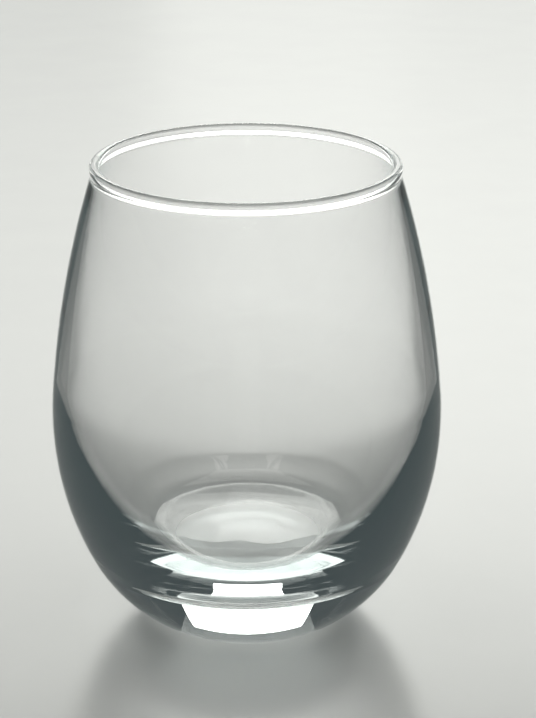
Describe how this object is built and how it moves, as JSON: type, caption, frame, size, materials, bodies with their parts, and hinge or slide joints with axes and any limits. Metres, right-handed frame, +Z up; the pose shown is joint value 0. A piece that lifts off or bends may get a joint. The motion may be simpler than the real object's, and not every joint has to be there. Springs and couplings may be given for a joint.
{
  "type": "rocks glass",
  "caption": "Stemless egg-shaped drinking glass of clear glass, with a heavy solid base, a bowl that swells low and draws in to the mouth, and a rounded bead rim.",
  "frame": {"origin": "on the table, under the middle of the foot", "axes": "+Z up along the axis of the glass; X and Y are free, because the glass is round"},
  "size_m": [0.084, 0.084, 0.103],
  "materials": {
    "glass": "clear polished soda-lime glass, smooth inside and out"
  },
  "bodies": {
    "root": {"base": "glass", "hip": "glass", "belly": "glass", "shoulder": "glass", "rim": "glass"}
  },
  "joints": []
}
